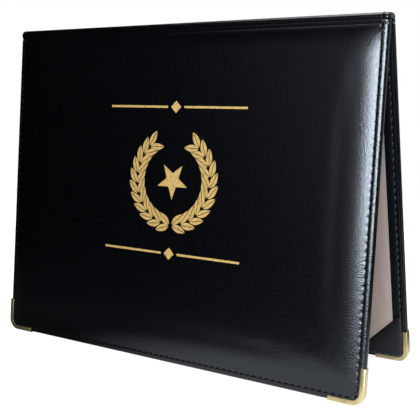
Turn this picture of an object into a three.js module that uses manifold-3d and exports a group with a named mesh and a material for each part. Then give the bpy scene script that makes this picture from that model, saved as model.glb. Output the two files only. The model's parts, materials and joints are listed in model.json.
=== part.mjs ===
// A padded certificate holder that folds along its top edge and stands open as a tent.
// Two leatherette covers hang from a narrow spine, brass corners guard the free corners, and four
// corner tabs inside the rear cover hold a letter-size sheet.
// Millimetres, +Z up, the fold along X, the front cover facing -Y. The origin is on the table under
// the middle of the tent.
import * as THREE from "three";
import { mergeVertices } from "three/addons/utils/BufferGeometryUtils.js";
import Module from "manifold-3d";

const wasm = await Module();
wasm.setup();

// The sheet on display, and the margins that the covers leave round it
const SHEET_WIDTH = 279.4;
const SHEET_HEIGHT = 215.9;
const SHEET_THICKNESS = 0.3;
const SIDE_MARGIN = 9.3;
const TOP_MARGIN = 6.9;
const BOTTOM_MARGIN = 6.5;

// Layers of a cover, from the inside to the outside
const LINING = 0.5;
const SKIN = 0.7;
const BOARD = 2.0;
const GLUE = 0.2;
const TURN_IN = 12;
const COVER_CORNER = 8;
const EDGE_ROUND = 1.7;
const LINING_INSET = 1.4;

// The pad under the skin
const CROWN = 3.2;
const CROWN_RUN = 20;
const CROWN_POWER = 2.6;
const PAD_TOP = 2.7;
const PAD_CORNER = 4;
const PLATEAU_CORNER = 13;
const FOAM_EDGE = 0.4;

// The seam round the three free edges
const SEAM_TO_BRASS = 1.3;
const GROOVE_HALF = 0.65;
const GROOVE_SKIN = 0.3;
const PAD_SETBACK = 0.35;
const THREAD = 0.6;

// The brass corners
const BRASS = 0.4;
const BRASS_LEG = 23;
const BRASS_FLANGE = 2.8;
const BRASS_BEND = 1.5;
const BRASS_PROUD = 0.25;
const BRASS_SEAT = 0.15;

// The corner tabs
const TAB = 0.7;
const TAB_TO_BRASS = 0.3;
const TAB_TOP = 1.5;
const LOWER_TAB_REACH = 39.5;
const UPPER_TAB_REACH = 45.5;
const POCKET_ROOM = 1.5;

// The spine and the way the holder stands
const SPINE_HEIGHT = 3.7;
const SPINE_ROUND = 2.9;
const HINGE_GAP = 0.15;
const CLOSING_ROOM = 0.9;
const TENT_HALF_ANGLE = THREE.MathUtils.degToRad(9.2);

// Facets of the rounded forms
const CORNER_STEPS = 6;
const CROWN_STEPS = 6;
const BEND_STEPS = 3;

// Sizes that follow from those above
const coverWidth = SHEET_WIDTH + 2 * SIDE_MARGIN;
const coverDrop = SHEET_HEIGHT + TOP_MARGIN + BOTTOM_MARGIN;
const turnInLevel = LINING + GLUE;
const boardLevel = turnInLevel + SKIN + GLUE;
const foamLevel = boardLevel + BOARD + GLUE;
const coverEdge = foamLevel + SKIN;
const seamInset = BRASS_FLANGE + SEAM_TO_BRASS;
const padInset = seamInset + GROOVE_HALF + PAD_SETBACK;
const tabInset = BRASS_FLANGE + TAB_TO_BRASS;
const pocketDepth = GLUE + SHEET_THICKNESS + GLUE;
const closedGap = pocketDepth + TAB + CLOSING_ROOM;
const spineWidth = 2 * coverEdge + closedGap;

const leatherette = new THREE.MeshStandardMaterial({ color: "#17191d", roughness: 0.42, metalness: 0 });
const liningCloth = new THREE.MeshStandardMaterial({ color: "#14171b", roughness: 0.6, metalness: 0 });
const thread = new THREE.MeshStandardMaterial({ color: "#101114", roughness: 0.7, metalness: 0 });
const brass = new THREE.MeshStandardMaterial({ color: "#d8c48a", roughness: 0.28, metalness: 1 });
const greyboard = new THREE.MeshStandardMaterial({ color: "#8b857b", roughness: 0.9, metalness: 0 });
const foam = new THREE.MeshStandardMaterial({ color: "#d9d5c8", roughness: 0.95, metalness: 0 });
const paper = new THREE.MeshStandardMaterial({ color: "#c3b6ae", roughness: 0.85, metalness: 0 });

// A cover is drawn hanging below its crease: x across, z down from the crease as a negative number, and
// "level" the height above the inside face of the lining. Its outer face looks along -Y.
function coverPoint(x, level, z) {
  return new THREE.Vector3(x, coverEdge - level, z);
}

// Points on an arc, both ends included.
function arc(centreX, centreY, radius, fromDegrees, toDegrees, steps) {
  return Array.from({ length: steps + 1 }, (_, i) => {
    const angle = THREE.MathUtils.degToRad(THREE.MathUtils.lerp(fromDegrees, toDegrees, i / steps));
    return new THREE.Vector2(centreX + radius * Math.cos(angle), centreY + radius * Math.sin(angle));
  });
}

// The outline of a cover layer, inset from the free edges and starting at a height of its own.
function coverOutline(inset, top, topRadius, bottomRadius) {
  const right = coverWidth / 2 - inset;
  const bottom = inset - coverDrop;
  return [
    ...arc(right - topRadius, top - topRadius, topRadius, 0, 90, CORNER_STEPS),
    ...arc(topRadius - right, top - topRadius, topRadius, 90, 180, CORNER_STEPS),
    ...arc(bottomRadius - right, bottom + bottomRadius, bottomRadius, 180, 270, CORNER_STEPS),
    ...arc(right - bottomRadius, bottom + bottomRadius, bottomRadius, 270, 360, CORNER_STEPS),
  ];
}

// The triangles that close an end of a loft, wound the same way as the outline.
function capTriangles(outline) {
  const triangles = THREE.ShapeUtils.triangulateShape(outline, []);
  return THREE.ShapeUtils.isClockWise(outline) ? triangles.map(([a, b, c]) => [a, c, b]) : triangles;
}

// Turns every triangle round if the closed surface is inside out.
function facingOut(positions, triangles) {
  const corner = (i) => new THREE.Vector3().fromArray(positions, 3 * i);
  const volume = triangles.reduce(
    (sum, [a, b, c]) => sum + corner(a).dot(corner(b).cross(corner(c))), 0);
  return volume < 0 ? triangles.map(([a, b, c]) => [a, c, b]) : triangles;
}

// A closed solid through a row of stations. Each has an outline in 2-D, all with as many points, and a
// function that places such a point in space.
function loft(stations) {
  const count = stations[0].outline.length;
  const last = (stations.length - 1) * count;
  const positions = stations.flatMap(({ outline, place }) => outline.flatMap((p) => place(p).toArray()));
  const triangles = [];
  for (let row = 0; row < last; row += count) {
    for (let k = 0; k < count; k++) {
      const here = row + k;
      const next = row + (k + 1) % count;
      triangles.push([here, here + count, next + count], [here, next + count, next]);
    }
  }
  triangles.push(...capTriangles(stations[0].outline));
  triangles.push(...capTriangles(stations.at(-1).outline).map(([a, b, c]) => [last + a, last + c, last + b]));
  const geometry = new THREE.BufferGeometry();
  geometry.setAttribute("position", new THREE.Float32BufferAttribute(positions, 3));
  geometry.setIndex(facingOut(positions, triangles).flat());
  return geometry;
}

// A flat layer of a cover between two levels.
function layer(outline, lowLevel, highLevel) {
  const shape = new THREE.Shape(outline);
  const geometry = new THREE.ExtrudeGeometry(shape, { depth: highLevel - lowLevel, bevelEnabled: false });
  return geometry.rotateX(Math.PI / 2).translate(0, coverEdge - lowLevel, 0);
}

function toSolid(geometry) {
  const bare = geometry.clone();
  bare.deleteAttribute("uv");
  bare.deleteAttribute("normal");
  const merged = mergeVertices(bare, 1e-4);
  return new wasm.Manifold(new wasm.Mesh({
    numProp: 3,
    vertProperties: new Float32Array(merged.attributes.position.array),
    triVerts: new Uint32Array(merged.index.array),
  }));
}

function toGeometry(solid) {
  const mesh = solid.getMesh();
  const geometry = new THREE.BufferGeometry();
  geometry.setAttribute("position", new THREE.Float32BufferAttribute(mesh.vertProperties, 3));
  geometry.setIndex([...mesh.triVerts]);
  return geometry;
}

function subtract(geometry, cutter) {
  return toGeometry(toSolid(geometry).subtract(toSolid(cutter)));
}

function piece(name, geometry, material) {
  const mesh = new THREE.Mesh(geometry.index ? geometry.toNonIndexed() : geometry, material);
  mesh.geometry.computeVertexNormals();
  mesh.name = name;
  return mesh;
}

// How high the crown stands above the border, from 0 at the foot of the pad to 1 on its plateau.
function crownHeight(share) {
  return CROWN * (1 - (1 - share) ** CROWN_POWER);
}

// One outline of the pad, at a share of the way from its foot to its plateau.
function padStation(share, foot, level) {
  const inset = padInset + share * CROWN_RUN;
  const radius = THREE.MathUtils.lerp(PAD_CORNER, PLATEAU_CORNER, share);
  const outline = coverOutline(inset, -PAD_TOP - share * CROWN_RUN, radius, radius);
  return { outline, place: (p) => coverPoint(p.x, level + crownHeight(share) - foot, p.y) };
}

// One outline of the rolled edge. It runs on past the crease, where the skin is cut open.
function edgeStation(inset, level) {
  const radius = Math.max(COVER_CORNER - inset, EDGE_ROUND);
  const outline = coverOutline(inset, TURN_IN + COVER_CORNER - inset, radius, radius);
  return { outline, place: (p) => coverPoint(p.x, level, p.y) };
}

// The skin of a cover: plateau, crown, seam groove, rolled edge and turn-in, then back along the inside.
function coverSkin() {
  const shares = Array.from({ length: CROWN_STEPS + 1 }, (_, i) => i / CROWN_STEPS);
  const rolledEdge = arc(EDGE_ROUND, coverEdge - EDGE_ROUND, EDGE_ROUND, 90, 180, BEND_STEPS);
  const tuckedEdge = arc(SKIN, turnInLevel + SKIN, SKIN, 180, 270, BEND_STEPS);
  const border = [
    [seamInset + GROOVE_HALF, coverEdge],
    [seamInset, foamLevel + GROOVE_SKIN],
    [seamInset - GROOVE_HALF, coverEdge],
    ...rolledEdge.map(({ x, y }) => [x, y]),
    ...tuckedEdge.map(({ x, y }) => [x, y]),
    [TURN_IN, turnInLevel],
    [TURN_IN, turnInLevel + SKIN],
    [SKIN, turnInLevel + SKIN],
    [SKIN, foamLevel],
    [seamInset + GROOVE_HALF, foamLevel],
  ];
  const wrapped = loft([
    ...shares.toReversed().map((share) => padStation(share, 0, coverEdge)),
    ...border.map(([inset, level]) => edgeStation(inset, level)),
    ...shares.map((share) => padStation(share, 0, foamLevel)),
  ]);
  const reach = TURN_IN + COVER_CORNER;
  const aboveCrease = new THREE.BoxGeometry(2 * coverWidth, 4 * coverEdge, 2 * reach);
  const hanging = subtract(wrapped, aboveCrease.translate(0, 0, reach - HINGE_GAP));
  return [1, -1].reduce((skin, side) => subtract(skin, brassSeat(side)), hanging);
}

// The foam under the crown, a glue line below the skin and above the board.
function foamPad() {
  const footShare = 1 - (1 - (GLUE + FOAM_EDGE) / CROWN) ** (1 / CROWN_POWER);
  const shares = Array.from({ length: CROWN_STEPS }, (_, i) => (i + 1) / CROWN_STEPS);
  const base = padStation(footShare, crownHeight(footShare), foamLevel);
  const top = [footShare, ...shares].map((share) => padStation(share, GLUE, foamLevel));
  return loft([base, ...top]);
}

function coverLayer(inset, lowLevel, highLevel) {
  const radius = Math.max(COVER_CORNER - inset, EDGE_ROUND);
  const outline = coverOutline(inset, -2 * HINGE_GAP, HINGE_GAP, radius);
  return layer(outline, lowLevel, highLevel);
}

// Stations round a free corner: a point on the cover's edge and the outward direction there. The side is
// 1 for the right corner and -1 for the left one.
function cornerStations(side) {
  return arc(0, 0, 1, 0, 90, CORNER_STEPS).map(({ x, y }) => ({
    x: side * (coverWidth / 2 - COVER_CORNER + COVER_CORNER * x),
    z: COVER_CORNER - coverDrop - COVER_CORNER * y,
    outX: side * x,
    outZ: -y,
  }));
}

// A profile carried along the edge. In the profile x is the way out from the edge and y the level.
function edgeLoft(profile, path) {
  return loft(path.map(({ x, z, outX, outZ }) => ({
    outline: profile,
    place: (p) => coverPoint(x + outX * p.x, p.y, z + outZ * p.x),
  })));
}

// The brass channel across its length: an outer flange, the wall round the edge, an inner flange. The outer
// flange and the wall are pressed into the leatherette, and the inner flange lies on the lining.
function brassProfile() {
  const outside = coverEdge + BRASS_PROUD;
  const inside = -BRASS_SEAT - BRASS;
  const centre = BRASS_PROUD - BRASS_BEND;
  const innerBend = BRASS_BEND - BRASS;
  return [
    new THREE.Vector2(-BRASS_FLANGE, outside),
    ...arc(centre, outside - BRASS_BEND, BRASS_BEND, 90, 0, BEND_STEPS),
    ...arc(centre, inside + BRASS_BEND, BRASS_BEND, 0, -90, BEND_STEPS),
    new THREE.Vector2(-BRASS_FLANGE, inside),
    new THREE.Vector2(-BRASS_FLANGE, inside + BRASS),
    ...arc(centre, inside + BRASS_BEND, innerBend, -90, 0, BEND_STEPS),
    ...arc(centre, outside - BRASS_BEND, innerBend, 0, 90, BEND_STEPS),
    new THREE.Vector2(-BRASS_FLANGE, outside - BRASS),
  ];
}

// What the brass presses away from the skin, across its length.
function seatProfile() {
  const outside = coverEdge + BRASS_PROUD;
  const clear = BRASS_PROUD - BRASS - BRASS_SEAT;
  const seatBend = BRASS_BEND - BRASS - BRASS_SEAT;
  const reach = BRASS_FLANGE + BRASS_SEAT;
  const beyond = coverEdge;
  return [
    new THREE.Vector2(-reach, outside + beyond),
    new THREE.Vector2(beyond, outside + beyond),
    new THREE.Vector2(beyond, -beyond),
    new THREE.Vector2(clear, -beyond),
    ...arc(BRASS_PROUD - BRASS_BEND, outside - BRASS_BEND, seatBend, 0, 90, BEND_STEPS),
    new THREE.Vector2(-reach, coverEdge + clear),
  ];
}

// The way round a free corner, with legs of a length on both sides of it.
function cornerPath(side, leg) {
  const sideEnd = { x: side * coverWidth / 2, z: leg - coverDrop, outX: side, outZ: 0 };
  const bottomEnd = { x: side * (coverWidth / 2 - leg), z: -coverDrop, outX: 0, outZ: -1 };
  return [sideEnd, ...cornerStations(side), bottomEnd];
}

function brassCorner(side) {
  return edgeLoft(brassProfile(), cornerPath(side, BRASS_LEG));
}

function brassSeat(side) {
  return edgeLoft(seatProfile(), cornerPath(side, BRASS_LEG + BRASS_SEAT));
}

// The sewing thread that lies in the groove, down one side, along the bottom and up the other.
function seamThread() {
  const lift = foamLevel + GROOVE_SKIN + GLUE + THREAD / 2;
  const profile = arc(-seamInset, lift, THREAD / 2, 0, 270, 3);
  const upperEnd = (side) => ({ x: side * coverWidth / 2, z: -4 * HINGE_GAP, outX: side, outZ: 0 });
  const path = [upperEnd(-1), ...cornerStations(-1), ...cornerStations(1).toReversed(), upperEnd(1)];
  return edgeLoft(profile, path);
}

// Everything that makes up one cover, hanging from its crease. Right is the side that lies towards +X once
// the tent stands: 1 on the front cover and -1 on the rear one, which is turned round.
function cover(name, right) {
  const group = new THREE.Group();
  group.add(
    piece(`${name}_cover_skin`, coverSkin(), leatherette),
    piece(`${name}_foam_pad`, foamPad(), foam),
    piece(`${name}_board`, coverLayer(SKIN + GLUE, boardLevel, boardLevel + BOARD), greyboard),
    piece(`${name}_infill_card`, coverLayer(TURN_IN + GLUE, turnInLevel, turnInLevel + SKIN), greyboard),
    piece(`${name}_lining`, coverLayer(LINING_INSET, 0, LINING), liningCloth),
    piece(`${name}_seam_thread`, seamThread(), thread),
    piece(`${name}_corner_right`, brassCorner(right), brass),
    piece(`${name}_corner_left`, brassCorner(-right), brass),
  );
  return group;
}

// A box over the sheet's own place, grown by some room on every side.
function sheetBox(room, lowLevel, highLevel) {
  const top = room - TOP_MARGIN;
  const bottom = -TOP_MARGIN - SHEET_HEIGHT - room;
  const box = new THREE.BoxGeometry(SHEET_WIDTH + 2 * room, highLevel - lowLevel, top - bottom);
  return box.translate(0, coverEdge - (lowLevel + highLevel) / 2, (top + bottom) / 2);
}

// A tab is a right-angled triangle sewn down along its two short sides. The sheet's corner slips under
// the rest of it.
function cornerTab(outline) {
  const tab = layer(outline, -pocketDepth - TAB, -GLUE);
  return subtract(tab, sheetBox(POCKET_ROOM, -pocketDepth, coverEdge));
}

function lowerTab(side) {
  const right = coverWidth / 2 - tabInset;
  const bottom = tabInset - coverDrop;
  const radius = COVER_CORNER - tabInset;
  const legEnd = LOWER_TAB_REACH - tabInset;
  const outline = [
    new THREE.Vector2(right, legEnd - coverDrop),
    new THREE.Vector2(coverWidth / 2 - legEnd, bottom),
    ...arc(right - radius, bottom + radius, radius, 270, 360, CORNER_STEPS),
  ];
  return cornerTab(outline.map((p) => new THREE.Vector2(side * p.x, p.y)));
}

function upperTab(side) {
  const right = coverWidth / 2 - tabInset;
  const outline = [
    new THREE.Vector2(right, tabInset - UPPER_TAB_REACH),
    new THREE.Vector2(right, -TAB_TOP),
    new THREE.Vector2(coverWidth / 2 + TAB_TOP - UPPER_TAB_REACH, -TAB_TOP),
  ];
  return cornerTab(outline.map((p) => new THREE.Vector2(side * p.x, p.y)));
}

// The rear cover is the front one turned round, with the sheet and its four tabs added.
function rearCover() {
  const right = -1;
  const group = cover("rear", right);
  group.add(
    piece("display_sheet", sheetBox(0, -GLUE - SHEET_THICKNESS, -GLUE), paper),
    piece("tab_upper_right", upperTab(right), leatherette),
    piece("tab_upper_left", upperTab(-right), leatherette),
    piece("tab_lower_right", lowerTab(right), leatherette),
    piece("tab_lower_left", lowerTab(-right), leatherette),
  );
  group.rotation.z = Math.PI;
  return group;
}

// The rounded roof of the spine across the fold, inset from its outer face and cut off at a height.
function roofOutline(inset, bottom) {
  const half = spineWidth / 2 - inset;
  const radius = SPINE_ROUND - inset;
  const centre = SPINE_HEIGHT - SPINE_ROUND;
  const start = THREE.MathUtils.radToDeg(Math.asin(Math.max(0, (bottom - centre) / radius)));
  const foot = bottom < centre ? [new THREE.Vector2(-half, bottom), new THREE.Vector2(half, bottom)] : [];
  return [
    ...arc(half - radius, centre, radius, start, 90, CORNER_STEPS),
    ...arc(radius - half, centre, radius, 90, 180 - start, CORNER_STEPS),
    ...foot,
  ];
}

// A length of roof through stations along the fold, each a place along X and an inset.
function roofLoft(stations, bottom) {
  return loft(stations.map(([x, inset]) => ({
    outline: roofOutline(inset, bottom),
    place: (p) => new THREE.Vector3(x, p.x, p.y),
  })));
}

// The skin over the fold, closed at both ends, with the seam groove running over it near each end.
function spineSkin() {
  const end = coverWidth / 2;
  const grooveDepth = SKIN - GROOVE_SKIN;
  const half = [
    [end, EDGE_ROUND / 2],
    [end - EDGE_ROUND / 2, 0],
    [end - seamInset + GROOVE_HALF, 0],
    [end - seamInset, grooveDepth],
    [end - seamInset - GROOVE_HALF, 0],
  ];
  const outside = roofLoft([...half, ...half.map(([x, inset]) => [-x, inset]).toReversed()], HINGE_GAP);
  const inside = roofLoft([[end - SKIN, SKIN], [SKIN - end, SKIN]], HINGE_GAP - SKIN);
  return subtract(outside, inside);
}

function spine() {
  const end = coverWidth / 2 - SKIN - GLUE;
  const liningTop = HINGE_GAP + LINING;
  const strip = roofLoft([[end, SKIN + GLUE], [-end, SKIN + GLUE]], liningTop + GLUE);
  const lining = new THREE.BoxGeometry(2 * end, spineWidth - 2 * (SKIN + GLUE), LINING);
  const group = new THREE.Group();
  group.add(
    piece("spine_skin", spineSkin(), leatherette),
    piece("spine_strip", strip, greyboard),
    piece("spine_lining", lining.translate(0, 0, HINGE_GAP + LINING / 2), liningCloth),
  );
  return group;
}

// How far the creases stand above the table when the tent rests on its brass corners.
function creaseHeight() {
  const drops = brassProfile().map(({ x, y }) =>
    (coverDrop + x) * Math.cos(TENT_HALF_ANGLE) + (coverEdge - y) * Math.sin(TENT_HALF_ANGLE));
  return Math.max(...drops);
}

// Hangs a cover at its crease, swung out from the middle of the tent.
function hang(coverGroup, y, angle) {
  const hinge = new THREE.Group();
  hinge.add(coverGroup);
  hinge.rotation.x = angle;
  hinge.position.set(0, y, creaseHeight());
  return hinge;
}

const holder = new THREE.Group();
holder.name = "certificate_holder";
holder.add(
  hang(cover("front", 1), -spineWidth / 2, -TENT_HALF_ANGLE),
  hang(rearCover(), spineWidth / 2, TENT_HALF_ANGLE),
  hang(spine(), 0, 0),
);

export default holder;
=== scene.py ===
"""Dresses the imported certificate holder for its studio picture.

Both covers get padded leatherette, linings, stitches and brass corners. The rear cover gets tabs and the
sheet, the front cover a foil ornament, and the scene a floor, soft lights and the photograph's camera.
"""

import json
import logging
import math
from collections.abc import Callable, Sequence
from dataclasses import dataclass, field
from enum import Enum

import bpy
import numpy as np
from mathutils import Matrix, Vector


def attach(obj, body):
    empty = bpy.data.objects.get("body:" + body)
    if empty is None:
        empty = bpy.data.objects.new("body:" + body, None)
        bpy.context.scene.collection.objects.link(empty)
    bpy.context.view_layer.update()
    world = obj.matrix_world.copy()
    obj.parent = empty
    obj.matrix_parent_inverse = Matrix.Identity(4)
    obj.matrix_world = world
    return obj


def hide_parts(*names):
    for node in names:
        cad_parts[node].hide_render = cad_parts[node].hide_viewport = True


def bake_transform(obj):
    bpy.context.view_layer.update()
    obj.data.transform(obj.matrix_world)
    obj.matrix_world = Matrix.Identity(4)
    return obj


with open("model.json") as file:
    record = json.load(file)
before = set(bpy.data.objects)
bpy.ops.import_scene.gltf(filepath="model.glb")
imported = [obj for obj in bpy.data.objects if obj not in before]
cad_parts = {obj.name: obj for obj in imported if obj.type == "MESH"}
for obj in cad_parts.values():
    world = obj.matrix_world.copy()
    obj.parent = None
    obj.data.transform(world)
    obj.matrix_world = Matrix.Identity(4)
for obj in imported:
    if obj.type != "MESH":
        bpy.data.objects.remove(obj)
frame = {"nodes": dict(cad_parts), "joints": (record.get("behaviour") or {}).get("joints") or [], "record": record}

logging.basicConfig(level=logging.INFO, format="%(message)s")
log = logging.getLogger("certificate_holder")

MM = 0.001
# Points that are closer together than this, in millimetres, count as one.
NEAR = 0.01
# The sockets of a mix node for colours go by number, since its other sockets have the same names.
MIX_SHARE, MIX_FROM, MIX_TO, MIXED = 0, 6, 7, 2

Piece = bpy.types.Object
Material = bpy.types.Material
Tree = bpy.types.NodeTree
Socket = bpy.types.NodeSocket
Pair = tuple[float, float]
Triple = tuple[float, float, float]
Pairs = Sequence[Pair]


@dataclass(frozen=True)
class HolderSizes:
    """Sizes that the pieces share with the solids they are fitted to, in millimetres."""

    cover_width: float = 298.0
    cover_drop: float = 229.3
    cover_corner: float = 8.0
    cover_edge: float = 4.5
    skin: float = 0.7
    lining: float = 0.5
    lining_inset: float = 1.4
    turn_in: float = 12.0
    turn_in_level: float = 0.7
    seam_inset: float = 4.1
    crown: float = 3.2
    crown_run: float = 20.0
    crown_power: float = 2.6
    hinge_gap: float = 0.15
    spine_width: float = 11.3
    spine_height: float = 3.7
    spine_round: float = 2.9
    brass: float = 0.4
    brass_leg: float = 23.0
    brass_flange: float = 2.8
    brass_proud: float = 0.25
    brass_seat: float = 0.15
    glue: float = 0.2
    sheet_width: float = 279.4
    sheet_height: float = 215.9
    sheet_thickness: float = 0.3
    top_margin: float = 6.9
    tab: float = 0.7
    tab_inset: float = 3.1
    tab_top: float = 1.5
    lower_tab_reach: float = 39.5
    upper_tab_reach: float = 45.5

    @property
    def half(self) -> float:
        """Half the width of a cover."""
        return self.cover_width / 2


SIZES = HolderSizes()


class Cover(Enum):
    """The two covers, by the name that their solids and their body start with."""

    FRONT = "front"
    REAR = "rear"

    @property
    def body(self) -> str:
        """The body that the cover's pieces ride on."""
        return f"{self.value}_cover"

    @property
    def right(self) -> int:
        """The cover's own side that lies towards +X once the tent stands."""
        return 1 if self is Cover.FRONT else -1

    def matrix(self) -> Matrix:
        """Places what is drawn hanging below its crease, in millimetres, in the standing tent.

        Returns:
            The matrix from the cover's own frame to the shared frame in metres.
        """
        hinge = next(j for j in frame["joints"] if j["name"] == f"{self.value}_hinge")
        # The hinge's lower limit is the shut holder, so it says how far the cover leans at rest.
        lean = math.radians(hinge["range_deg"][0]) * self.right
        turn = Matrix.Identity(4) if self is Cover.FRONT else Matrix.Rotation(math.pi, 4, "Z")
        swing = Matrix.Rotation(lean, 4, "X")
        return Matrix.Translation(hinge["pos_m"]) @ swing @ turn @ Matrix.Scale(MM, 4)


def spine_matrix() -> Matrix:
    """Places what is drawn about the middle of the two creases, in millimetres, in the shared frame."""
    points = [Vector(j["pos_m"]) for j in frame["joints"]]
    return Matrix.Translation((points[0] + points[1]) / 2) @ Matrix.Scale(MM, 4)


def linear(hex_colour: str) -> tuple[float, ...]:
    """Turns an sRGB hex colour to a linear one.

    Args:
        hex_colour: Six hex digits after a hash sign.

    Returns:
        Red, green, blue and an alpha of 1, linear.
    """
    parts = [int(hex_colour[i : i + 2], 16) / 255 for i in (1, 3, 5)]
    return *(p / 12.92 if p <= 0.04045 else ((p + 0.055) / 1.055) ** 2.4 for p in parts), 1.0


def per_metre(millimetres: float) -> float:
    """The texture scale at which one cell of a pattern has this size."""
    return 1 / (millimetres * MM)


def add_node(tree: Tree, kind: str, inputs: dict | None = None, **settings: object) -> bpy.types.Node:
    """Adds a node with its settings and links.

    Args:
        tree: The node tree to add it to.
        kind: The node's type, without the word that every type starts with.
        inputs: Values or links by the name or number of the input. A node stands for its first output.
        **settings: The node's own properties.

    Returns:
        The new node.
    """
    node = tree.nodes.new(f"ShaderNode{kind}")
    for name, value in settings.items():
        setattr(node, name, value)
    for key, value in (inputs or {}).items():
        source = value.outputs[0] if isinstance(value, bpy.types.Node) else value
        if isinstance(source, Socket):
            tree.links.new(source, node.inputs[key])
        else:
            node.inputs[key].default_value = source
    return node


def new_material(name: str) -> tuple[Material, Tree, Socket]:
    """Makes an empty node material.

    Args:
        name: The material's name.

    Returns:
        The material, its node tree and the place on the piece, in metres, that patterns are read from.
    """
    material = bpy.data.materials.new(name)
    material.use_nodes = True
    tree = material.node_tree
    tree.nodes.clear()
    return material, tree, add_node(tree, "TexCoord").outputs["Object"]


@dataclass(frozen=True)
class PebbledLeatherette:
    """Black polyurethane leatherette, embossed with a fine pebble grain and calendered to a soft gloss.

    The eye sees a blue-black sheet whose highlights break up into small grains and soft blotches.
    """

    name: str = "black pebbled polyurethane leatherette"
    hollow: str = "#010101"
    crest: str = "#020305"
    sheen: str = "#e9f3ff"
    grain_mm: float = 0.85
    grain_reach: float = 0.85
    grain_softness: float = 0.25
    stir_mm: float = 3.0
    stir_by_mm: float = 0.6
    # Real pores are finer. These are as coarse as they need to be to show.
    pore_mm: float = 0.3
    pore_share: float = 0.35
    mottle_mm: float = 2.6
    mottle_share: float = 0.5
    emboss_mm: float = 0.05
    roughness: Pair = (0.18, 0.25)
    ior: float = 1.5
    specular: float = 0.5

    def grain(self, tree: Tree, place: Socket) -> bpy.types.Node:
        """Adds the pebbles.

        Args:
            tree: The node tree.
            place: The place on the piece.

        Returns:
            The node that gives a pebble's height, from 0 in the hollows to 1 on the crests.
        """
        # The pebbles are uneven, so the places are stirred a little first.
        stir = add_node(tree, "TexNoise", {"Vector": place, "Scale": per_metre(self.stir_mm)})
        amount = {0: stir.outputs["Color"], "Scale": self.stir_by_mm * MM}
        shift = add_node(tree, "VectorMath", amount, operation="SCALE")
        stirred = add_node(tree, "VectorMath", {0: place, 1: shift}, operation="ADD")
        cells = {"Vector": stirred, "Scale": per_metre(self.grain_mm), "Smoothness": self.grain_softness}
        pebble = add_node(tree, "TexVoronoi", cells, feature="SMOOTH_F1")
        # Each pebble is round, highest in its middle and lowest at its rim.
        rise = {"Value": pebble, "From Min": self.grain_reach, "From Max": 0.0}
        return add_node(tree, "MapRange", rise, interpolation_type="SMOOTHSTEP")

    def material(self) -> Material:
        """Builds the material.

        Returns:
            The node material.
        """
        material, tree, place = new_material(self.name)
        dome = self.grain(tree, place)
        pore = add_node(
            tree, "TexNoise", {"Vector": place, "Scale": per_metre(self.pore_mm), "Detail": 3.0}
        )
        mottle = add_node(tree, "TexNoise", {"Vector": place, "Scale": per_metre(self.mottle_mm)})
        rough = add_node(tree, "Math", {0: pore, 1: self.pore_share, 2: dome}, operation="MULTIPLY_ADD")
        height = add_node(
            tree, "Math", {0: mottle, 1: self.mottle_share, 2: rough}, operation="MULTIPLY_ADD"
        )
        tones = {MIX_SHARE: dome, MIX_FROM: linear(self.hollow), MIX_TO: linear(self.crest)}
        smooth_end, rough_end = self.roughness
        inputs = {
            "Base Color": add_node(tree, "Mix", tones, data_type="RGBA").outputs[MIXED],
            "Roughness": add_node(
                tree, "MapRange", {"Value": mottle, "To Min": smooth_end, "To Max": rough_end}
            ),
            "Normal": add_node(
                tree, "Bump", {"Height": height, "Strength": 1.0, "Distance": self.emboss_mm * MM}
            ),
            "IOR": self.ior,
            "Specular IOR Level": self.specular,
            "Specular Tint": linear(self.sheen),
        }
        add_node(tree, "OutputMaterial", {"Surface": add_node(tree, "BsdfPrincipled", inputs)})
        return material


@dataclass(frozen=True)
class SewingThread:
    """Black bonded polyester sewing thread, two plies twisted together.

    The eye sees dull black dashes, darker than the leatherette round them.
    """

    name: str = "black bonded polyester thread"
    colour: str = "#030304"
    twist_mm: float = 0.5
    twist_unevenness: float = 1.5
    ply_mm: float = 0.08
    ply_strength: float = 0.6
    roughness: float = 0.9
    specular: float = 0.1

    def material(self) -> Material:
        """Builds the material.

        Returns:
            The node material.
        """
        material, tree, place = new_material(self.name)
        scale = per_metre(self.twist_mm) / math.pi
        twist = {"Vector": place, "Scale": scale, "Distortion": self.twist_unevenness}
        plies = add_node(tree, "TexWave", twist, bands_direction="DIAGONAL").outputs["Fac"]
        relief = {"Height": plies, "Strength": self.ply_strength, "Distance": self.ply_mm * MM}
        inputs = {
            "Base Color": linear(self.colour),
            "Roughness": self.roughness,
            "Normal": add_node(tree, "Bump", relief),
            "Specular IOR Level": self.specular,
        }
        add_node(tree, "OutputMaterial", {"Surface": add_node(tree, "BsdfPrincipled", inputs)})
        return material


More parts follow.
